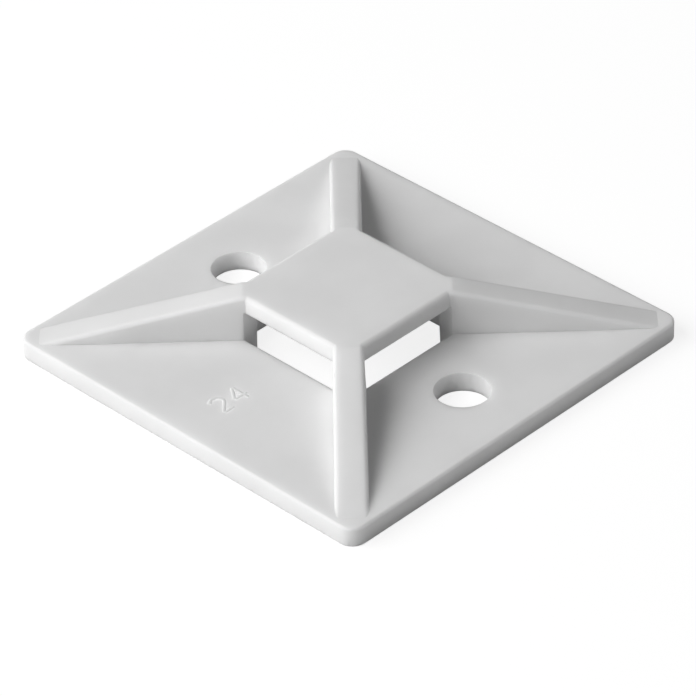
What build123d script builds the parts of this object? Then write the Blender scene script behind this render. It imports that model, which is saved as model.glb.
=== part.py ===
from build123d import *
from math import atan2, radians, sqrt, tan
import os

# Tie mount: a square plate with a raised deck over a window at its middle, moulded in one piece.
# A cable tie threads under the deck either way, and two screws or a glue pad hold the plate.
# Millimetres. +Z is up, the origin is the centre of the underside, and the sides lie along X and Y.

# Plate
plate_side = 28.0
plate_thickness = 1.3
plate_corner_radius = 1.0
plate_edge_radius = 0.18    # along the top
plate_foot_radius = 0.1     # along the underside

# Deck
deck_side = 9.84            # across its flats, at its underside
deck_thickness = 1.1
deck_edge_radius = 0.3

# Tie passages, which cross under the deck
passage_width = 7.42        # between two columns, at the deck's underside
passage_height = 1.9        # from the plate's top to the deck's underside
column_nose_radius = 0.3

# Ribs, from the deck's corners down to the plate's corners
rib_width = 1.95            # at the plate's top
rib_edge_radius = 0.25
rib_level = 0.1             # how far a rib's top runs on level past the deck
rib_crest_radius = 0.6      # where it turns from level to falling
corner_land = 1.0           # flat left between a rib's end and the plate's rounded corner

# Screw holes, on opposite sides of the window
screw_hole_diameter = 3.4
screw_hole_spacing = 18.6

# Mould
cavity_draft = 1.5          # degrees, on the walls that the upper half shapes
core_draft = 1.0            # degrees, on the window and the passages
shut_off = 0.1              # the window clears the deck by this much on each side

# Levels
deck_underside = plate_thickness + passage_height
deck_top = deck_underside + deck_thickness

# Along a rib, from the centre: where its walls come out of the deck's sides, where the deck ends
# inside it, where its top starts to fall and where it reaches the plate.
deck_half_diagonal = (deck_side / 2 - deck_thickness * tan(radians(cavity_draft))) * sqrt(2)
rib_half_width = rib_width / 2 - (deck_top - plate_thickness) * tan(radians(cavity_draft))
rib_mouth = deck_half_diagonal - rib_half_width
deck_reach = rib_mouth + rib_level / 2
rib_reach = plate_side / sqrt(2) - plate_corner_radius * (sqrt(2) - 1) - corner_land
rib_slope = atan2(deck_top - plate_thickness, rib_reach - rib_mouth - rib_level)
rib_crest = rib_mouth + rib_level + rib_crest_radius * tan(rib_slope / 2)

def plate():
    """The square plate, rounded at its corners, along its top and, a little, along its foot."""
    slab = extrude(RectangleRounded(plate_side, plate_side, plate_corner_radius), plate_thickness)
    slab = fillet(slab.faces().sort_by(Axis.Z)[-1].edges(), plate_edge_radius)
    return fillet(slab.faces().sort_by(Axis.Z)[0].edges(), plate_foot_radius)

def deck():
    """The raised square that the cables lie on, rounded along its top, its corners cut off in the ribs."""
    block = extrude(Rectangle(deck_side, deck_side), deck_thickness, taper=cavity_draft)
    block = fillet(block.faces().sort_by(Axis.Z)[-1].edges(), deck_edge_radius)
    block &= Rot(0, 0, 45) * extrude(Rectangle(2 * deck_reach, 2 * deck_reach), deck_thickness)
    return Pos(0, 0, deck_underside) * block

def rib():
    """One rib along +X, from the deck's middle: a drafted wall, sloped and rounded along its top."""
    root = plate_thickness / 2
    side_view = Polygon((0, root), (rib_reach, root), (rib_reach, plate_thickness),
                        (rib_crest, deck_top), (0, deck_top), align=None)
    crest = side_view.vertices().sort_by_distance((rib_crest, deck_top))[0]
    wall = extrude(Plane.XZ * fillet(crest, rib_crest_radius), rib_width / 2, both=True)
    wall = draft(wall.faces().filter_by(Axis.Y), Plane.XY.offset(plate_thickness), cavity_draft)
    top = wall.faces().filter_by(lambda face: face.normal_at().Z > 0.5)
    return fillet(top.edges().filter_by(Axis.Y, reverse=True), rib_edge_radius)

def core():
    """The lower half of the mould, which leaves the window and the two passages crossing in it."""
    window_side = deck_side + 2 * shut_off
    bar = extrude(Rectangle(window_side, passage_width), deck_underside, dir=(0, 0, -1), taper=-core_draft)
    cross = bar + Rot(0, 0, 90) * bar
    noses = [edge for edge in cross.edges() if abs(abs(edge.center().X) - abs(edge.center().Y)) < 0.01]
    return Pos(0, 0, deck_underside) * fillet(noses, column_nose_radius)

def screw_holes():
    """Two straight holes through the plate."""
    hole = extrude(Circle(screw_hole_diameter / 2), plate_thickness)
    return [Pos(side * screw_hole_spacing / 2, 0, 0) * hole for side in (-1, 1)]

tie_mount = plate() + deck()
for corner in range(4):
    tie_mount += Rot(0, 0, 45 + 90 * corner) * rib()
tie_mount = tie_mount - core() - screw_holes()

os.makedirs("parts", exist_ok=True)
export_step(tie_mount, "parts/tie_mount.step")
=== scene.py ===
import bpy
from math import cos, radians, sin, sqrt
from mathutils import Matrix, Vector


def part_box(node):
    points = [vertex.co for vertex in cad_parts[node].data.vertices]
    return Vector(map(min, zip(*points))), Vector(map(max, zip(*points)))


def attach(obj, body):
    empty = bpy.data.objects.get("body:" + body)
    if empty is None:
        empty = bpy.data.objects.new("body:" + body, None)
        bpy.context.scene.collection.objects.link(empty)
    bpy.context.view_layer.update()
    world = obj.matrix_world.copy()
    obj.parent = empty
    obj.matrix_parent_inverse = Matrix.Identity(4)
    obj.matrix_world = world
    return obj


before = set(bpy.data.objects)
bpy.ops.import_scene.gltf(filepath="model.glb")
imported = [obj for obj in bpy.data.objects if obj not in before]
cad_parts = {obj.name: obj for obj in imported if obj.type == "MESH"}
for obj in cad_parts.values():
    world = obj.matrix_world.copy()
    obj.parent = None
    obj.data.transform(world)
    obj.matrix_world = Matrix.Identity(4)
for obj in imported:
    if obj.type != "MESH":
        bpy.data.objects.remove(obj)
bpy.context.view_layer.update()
print("frame loaded")

mm = 0.001          # the frame is in metres

# Camera, turned and set back from the mount's underside as in the photograph

cameraValues = {
    "azimuth": 45.394,
    "elevation": 35.748,
    "roll": -1.835,
    "distance": 261.84 * mm,
    "across": -0.049 * mm,          # how far the view's centre lies right of the origin
    "up": -0.156 * mm,              # and above it
    "focalPixels": 4391.7,
    "imagePixels": 696,
    "sensor": 36.0,                 # millimetres
    "nearest": 10 * mm,             # what it shows lies between these two distances
    "farthest": 20.0,
}


def directionFrom(azimuth, elevation):
    # from the origin: an azimuth of 0 degrees is along -Y, and 90 is along +X
    turn, rise = radians(azimuth), radians(elevation)
    return Vector((sin(turn) * cos(rise), -cos(turn) * cos(rise), sin(rise)))


def makeCamera(values):
    back = directionFrom(values["azimuth"], values["elevation"])
    azimuth = radians(values["azimuth"])
    roll = radians(values["roll"])
    level = Vector((cos(azimuth), sin(azimuth), 0))
    upright = back.cross(level)
    right = cos(roll) * level + sin(roll) * upright
    up = cos(roll) * upright - sin(roll) * level
    place = values["distance"] * back + values["across"] * right + values["up"] * up
    data = bpy.data.cameras.new("camera")
    data.sensor_width = values["sensor"]
    data.lens = values["focalPixels"] * values["sensor"] / values["imagePixels"]
    data.clip_start = values["nearest"]
    data.clip_end = values["farthest"]
    camera = bpy.data.objects.new("camera", data)
    bpy.context.scene.collection.objects.link(camera)
    turn = Matrix((right, up, back)).transposed()
    camera.matrix_world = Matrix.Translation(place) @ turn.to_4x4()
    bpy.context.scene.camera = camera


makeCamera(cameraValues)
print("camera placed")

# Node trees, with the maths written as sums


class Value:
    # a socket that takes part in sums
    def __init__(self, nodes, socket):
        self.nodes = nodes
        self.socket = socket

    def sum(self, operation, first, second):
        return self.nodes.make("ShaderNodeMath", {"operation": operation}, {0: first, 1: second})

    def __add__(self, other):
        return self.sum("ADD", self, other)

    def __radd__(self, other):
        return self.sum("ADD", other, self)

    def __sub__(self, other):
        return self.sum("SUBTRACT", self, other)

    def __rsub__(self, other):
        return self.sum("SUBTRACT", other, self)

    def __mul__(self, other):
        return self.sum("MULTIPLY", self, other)

    def __rmul__(self, other):
        return self.sum("MULTIPLY", other, self)

    def __truediv__(self, other):
        return self.sum("DIVIDE", self, other)

    def __rtruediv__(self, other):
        return self.sum("DIVIDE", other, self)

    def __pow__(self, other):
        return self.sum("POWER", self, other)

    def __rpow__(self, other):
        return self.sum("POWER", other, self)


class Nodes:
    # the nodes of one tree: a material's, the world's or a geometry group's
    def __init__(self, tree):
        self.tree = tree
        tree.nodes.clear()

    def make(self, kind, settings, inputs, output=0):
        node = self.tree.nodes.new(kind)
        for name, setting in settings.items():
            setattr(node, name, setting)
        for name, value in inputs.items():
            if isinstance(value, Value):
                self.tree.links.new(value.socket, node.inputs[name])
            else:
                node.inputs[name].default_value = value
        return Value(self, node.outputs[output]) if node.outputs else None

    def noise(self, place, size, detail, roughness=0.5):
        # from about -1 to 1, with blotches about as large as size
        inputs = {"Vector": place, "Scale": 1 / size, "Detail": detail, "Roughness": roughness}
        found = self.make("ShaderNodeTexNoise", {"noise_dimensions": "3D"}, inputs)
        return 2 * found - 1

    def stretch(self, value, low, high):
        # from 0 at low to 1 at high, eased at both ends
        inputs = {"Value": value, "From Min": low, "From Max": high}
        return self.make("ShaderNodeMapRange", {"interpolation_type": "SMOOTHSTEP"}, inputs)

    def mixColours(self, factor, first, second):
        # sockets 0, 6 and 7 are the factor and the two colours
        return self.make("ShaderNodeMix", {"data_type": "RGBA"}, {0: factor, 6: first, 7: second}, output=2)


# White polyamide: cloudy inside, satin outside, with the fine texture of a spark-eroded mould

plasticValues = {
    "colour": (0.77, 0.77, 0.77, 1),
    "cloudColour": (0.75, 0.75, 0.75, 1),
    "cloudSize": 4.0 * mm,
    "cloudDetail": 3,
    "cloudEdge": 0.35,              # the noise at which a cloud is full; the smaller, the harder its edge
    "roughness": 0.6,
    "roughnessSpread": 0.07,
    "sheen": 0.25,                  # half the usual, chosen to match the photograph
    "smearSize": 1.3 * mm,
    "smearDetail": 4,
    "grainSize": 0.07 * mm,
    "grainDetail": 3,
    "grainRoughness": 0.6,
    "grainDepth": 0.0012 * mm,
    "sinkSize": 2.2 * mm,
    "sinkDetail": 1,
    "sinkDepth": 0.004 * mm,
    "glowDepth": 0.9 * mm,          # how far light spreads inside
    "glowForward": 0.8,             # how nearly it keeps its way at each grain that it meets
    "ior": 1.53,
}


def makePlastic(name, values, glowShare):
    material = bpy.data.materials.new(name)
    material.use_nodes = True
    shader = Nodes(material.node_tree)
    place = shader.make("ShaderNodeTexCoord", {}, {}, output="Object")
    clouds = shader.noise(place, values["cloudSize"], values["cloudDetail"])
    clouds = shader.stretch(clouds, -values["cloudEdge"], values["cloudEdge"])
    colour = shader.mixColours(clouds, values["cloudColour"], values["colour"])
    smears = shader.noise(place, values["smearSize"], values["smearDetail"])
    grain = shader.noise(place, values["grainSize"], values["grainDetail"], values["grainRoughness"])
    sinks = shader.noise(place, values["sinkSize"], values["sinkDetail"])
    height = values["grainDepth"] * grain + values["sinkDepth"] * sinks
    bump = shader.make("ShaderNodeBump", {}, {"Strength": 1.0, "Distance": 1.0, "Height": height})
    surface = shader.make("ShaderNodeBsdfPrincipled", {"subsurface_method": "RANDOM_WALK"}, {
        "Base Color": colour,
        "Roughness": values["roughness"] + values["roughnessSpread"] * smears,
        "IOR": values["ior"],
        "Specular IOR Level": values["sheen"],
        "Normal": bump,
        "Subsurface Weight": glowShare,
        "Subsurface Radius": (1, 1, 1),
        "Subsurface Scale": values["glowDepth"],
        "Subsurface Anisotropy": values["glowForward"],
    })
    shader.make("ShaderNodeOutputMaterial", {}, {"Surface": surface})
    return material


whitePlastic = makePlastic("white_polyamide", plasticValues, glowShare=1.0)
# the number's ridges are a mesh of their own, and would lose their glow in the plate, so theirs is a plain
# plastic, painted paler to look the same: the extra lightness is painted glow and painted highlight,
# standing in for the light that the plate's glow spreads
ridgePaintedGlowColour = (0.86, 0.86, 0.86, 1)
ridgePaintedGlowValues = {**plasticValues, "colour": ridgePaintedGlowColour, "cloudColour": ridgePaintedGlowColour}
ridgePlasticWithPaintedGlow = makePlastic("white_polyamide_ridges_painted_glow", ridgePaintedGlowValues, glowShare=0.0)
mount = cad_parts["tie_mount"]
for materialSlot in mount.material_slots:
    materialSlot.material = whitePlastic
print("mount finished")

# Cavity number: low rounded strokes on the plate, beside the window

numberValues = {
    "digits": "24",
    "place": Vector((-0.12 * mm, -9.75 * mm)),    # its middle; it reads along +Y, with its top towards -X
    "height": 1.45 * mm,
    "gap": 0.45 * mm,
    "strokeWidth": 0.22 * mm,       # at the plate's top
    "relief": 0.024 * mm,
    "sunk": 0.04 * mm,              # how far a ridge's axis lies below the plate's top
    "step": 0.03 * mm,              # between two points of a stroke
    "around": 16,                   # points round a stroke
    "weld": 0.0001 * mm,            # points closer than this become one, at the strokes' ends
}


def arcPoints(centre, radius, start, end, count=12):
    angles = [radians(start + (end - start) * step / count) for step in range(count + 1)]
    return [Vector((centre[0] + radius * cos(angle), centre[1] + radius * sin(angle))) for angle in angles]


# each digit is one high: its width, and the points of its strokes, which end at its corners
digitStrokes = {
    "2": (0.60, [arcPoints((0.30, 0.70), 0.30, 165, -40) + [Vector((0, 0))],
                 [Vector((0, 0)), Vector((0.60, 0))]]),
    "4": (0.72, [[Vector((0.50, 1)), Vector((0, 0.32))],
                 [Vector((0, 0.32)), Vector((0.72, 0.32))],
                 [Vector((0.50, 1)), Vector((0.50, 0))]]),
}


def placeStrokes(values, level):
    # the strokes as a mesh of edges on the plate's top
    widths = [digitStrokes[digit][0] * values["height"] for digit in values["digits"]]
    reach = -(sum(widths) + values["gap"] * (len(widths) - 1)) / 2
    points, edges = [], []
    for digit, width in zip(values["digits"], widths):
        for stroke in digitStrokes[digit][1]:
            edges += [(len(points) + step, len(points) + step + 1) for step in range(len(stroke) - 1)]
            for point in stroke:
                across = reach + point.x * values["height"]
                upward = (point.y - 0.5) * values["height"]
                points.append((values["place"].x - upward, values["place"].y + across, level))
        reach += width + values["gap"]
    mesh = bpy.data.meshes.new("cavity_number")
    mesh.from_pydata(points, edges, [])
    piece = bpy.data.objects.new("cavity_number", mesh)
    bpy.context.scene.collection.objects.link(piece)
    return piece


def growStrokes():
    # a tree that turns edges into low rounded ridges
    tree = bpy.data.node_groups.new("raised_strokes", "GeometryNodeTree")
    nodes = Nodes(tree)
    face = tree.interface
    face.new_socket(name="Geometry", in_out="INPUT", socket_type="NodeSocketGeometry")
    for name in ("Width", "Height", "Step", "Weld"):
        face.new_socket(name=name, in_out="INPUT", socket_type="NodeSocketFloat")
    face.new_socket(name="Around", in_out="INPUT", socket_type="NodeSocketInt")
    face.new_socket(name="Material", in_out="INPUT", socket_type="NodeSocketMaterial")
    face.new_socket(name="Geometry", in_out="OUTPUT", socket_type="NodeSocketGeometry")
    given = tree.nodes.new("NodeGroupInput")
    taken = {socket.name: Value(nodes, socket) for socket in given.outputs if socket.name}

    path = nodes.make("GeometryNodeMeshToCurve", {}, {"Mesh": taken["Geometry"]})
    path = nodes.make("GeometryNodeResampleCurve", {"mode": "LENGTH"}, {
        "Curve": path, "Length": taken["Step"]})
    path = nodes.make("GeometryNodeSetCurveNormal", {"mode": "Z_UP"}, {"Curve": path})

    # the ends narrow as a ball does
    along = nodes.make("GeometryNodeSplineParameter", {}, {}, output="Length")
    whole = nodes.make("GeometryNodeSplineLength", {}, {}, output="Length")
    toEnd = along.sum("MINIMUM", along, whole - along)
    halfWidth = taken["Width"] * 0.5
    inward = along.sum("MINIMUM", toEnd / halfWidth, 1)
    narrowing = (1 - (1 - inward) ** 2) ** 0.5

    profile = nodes.make("GeometryNodeCurvePrimitiveCircle", {}, {
        "Resolution": taken["Around"], "Radius": 1})
    stretch = nodes.make("ShaderNodeCombineXYZ", {}, {"X": halfWidth, "Y": taken["Height"], "Z": 1})
    profile = nodes.make("GeometryNodeTransform", {}, {"Geometry": profile, "Scale": stretch})
    ridge = nodes.make("GeometryNodeCurveToMesh", {}, {
        "Curve": path, "Profile Curve": profile, "Scale": narrowing, "Fill Caps": False})
    ridge = nodes.make("GeometryNodeMergeByDistance", {}, {"Geometry": ridge, "Distance": taken["Weld"]})
    ridge = nodes.make("GeometryNodeSetShadeSmooth", {}, {"Geometry": ridge, "Shade Smooth": True})
    ridge = nodes.make("GeometryNodeRealizeInstances", {}, {"Geometry": ridge})
    ridge = nodes.make("GeometryNodeSetMaterial", {}, {"Geometry": ridge, "Material": taken["Material"]})
    result = tree.nodes.new("NodeGroupOutput")
    tree.links.new(ridge.socket, result.inputs["Geometry"])
    return tree


def makeNumber(values, material):
    above = Vector((values["place"].x, values["place"].y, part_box("tie_mount")[1][2] + mm))
    plateTop = mount.ray_cast(above, Vector((0, 0, -1)))[1]
    piece = placeStrokes(values, plateTop.z - values["sunk"])
    tree = growStrokes()
    height = values["relief"] + values["sunk"]
    chosen = {
        # an ellipse's at its axis, from what it is at the plate's top
        "Width": values["strokeWidth"] / sqrt(1 - (values["sunk"] / height) ** 2),
        "Height": height,
        "Step": values["step"],
        "Weld": values["weld"],
        "Around": values["around"],
        "Material": material,
    }
    modifier = piece.modifiers.new("raised_strokes", "NODES")
    modifier.node_group = tree
    for socket in tree.interface.items_tree:
        if socket.in_out == "INPUT" and socket.name in chosen:
            modifier[socket.identifier] = chosen[socket.name]
    bpy.context.view_layer.update()
    graph = bpy.context.evaluated_depsgraph_get()
    mesh = bpy.data.meshes.new_from_object(piece.evaluated_get(graph))
    piece.modifiers.clear()
    piece.data = mesh
    piece.visible_shadow = False    # else it blocks the plate's glow, and leaves a dark halo
    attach(piece, "root")


# the ridges' paler colour is painted glow and painted highlight, not the plastic's own colour
makeNumber(numberValues, ridgePlasticWithPaintedGlow)
print("cavity number raised")

# Floor, world and lamps

stageValues = {
    "floorSide": 8.0,               # metres
    "floorDrop": 0.01 * mm,         # below the mount's underside
    "floorColour": (0.80, 0.80, 0.80, 1),
    "floorShadowColour": (0.25, 0.25, 0.25, 1),    # what the camera sees of it under the white
    "floorWhite": 0.83,
    "skyStrength": 0.02,            # as a light; seen itself, it is white
}

lampDistance = 450 * mm
lampValues = {
    "key": {"azimuth": -28.0, "elevation": 39.0, "width": 540 * mm, "height": 380 * mm, "watts": 2.67},
    "side": {"azimuth": 138.0, "elevation": 26.0, "width": 200 * mm, "height": 200 * mm, "watts": 0.245},
}


def seenPlainly(shader):
    # 1 for rays that show the background itself, straight, mirrored or through
    seen = [shader.make("ShaderNodeLightPath", {}, {}, output=ray)
            for ray in ("Is Camera Ray", "Is Glossy Ray", "Is Transmission Ray")]
    return seen[0].sum("MAXIMUM", seen[0].sum("MAXIMUM", seen[0], seen[1]), seen[2])


def makeFloor(values):
    half = values["floorSide"] / 2
    corners = [(-half, -half), (half, -half), (half, half), (-half, half)]
    mesh = bpy.data.meshes.new("floor")
    mesh.from_pydata([(x, y, -values["floorDrop"]) for x, y in corners], [], [(0, 1, 2, 3)])
    floor = bpy.data.objects.new("floor", mesh)
    bpy.context.scene.collection.objects.link(floor)
    material = bpy.data.materials.new("floor")
    material.use_nodes = True
    shader = Nodes(material.node_tree)
    seen = seenPlainly(shader)
    colour = shader.mixColours(seen, values["floorColour"], values["floorShadowColour"])
    matt = shader.make("ShaderNodeBsdfDiffuse", {}, {"Color": colour})
    strength = seen * values["floorWhite"]
    white = shader.make("ShaderNodeEmission", {}, {"Color": (1, 1, 1, 1), "Strength": strength})
    both = shader.make("ShaderNodeAddShader", {}, {0: matt, 1: white})
    shader.make("ShaderNodeOutputMaterial", {}, {"Surface": both})
    mesh.materials.append(material)


def makeWorld(values):
    world = bpy.data.worlds.new("studio")
    bpy.context.scene.world = world
    world.use_nodes = True
    shader = Nodes(world.node_tree)
    strength = seenPlainly(shader) * (1 - values["skyStrength"]) + values["skyStrength"]
    sky = shader.make("ShaderNodeBackground", {}, {"Color": (1, 1, 1, 1), "Strength": strength})
    shader.make("ShaderNodeOutputWorld", {}, {"Surface": sky})


def makeLamp(name, values):
    data = bpy.data.lights.new(name, "AREA")
    data.shape = "RECTANGLE"
    data.size = values["width"]
    data.size_y = values["height"]
    data.energy = values["watts"]
    lamp = bpy.data.objects.new(name, data)
    bpy.context.scene.collection.objects.link(lamp)
    direction = directionFrom(values["azimuth"], values["elevation"])
    lamp.location = lampDistance * direction
    lamp.rotation_euler = direction.to_track_quat("Z", "Y").to_euler()


makeFloor(stageValues)
makeWorld(stageValues)
for lampName, lampSetting in lampValues.items():
    makeLamp(lampName, lampSetting)
print("stage lit")

bpy.context.scene.view_settings.view_transform = "Standard"
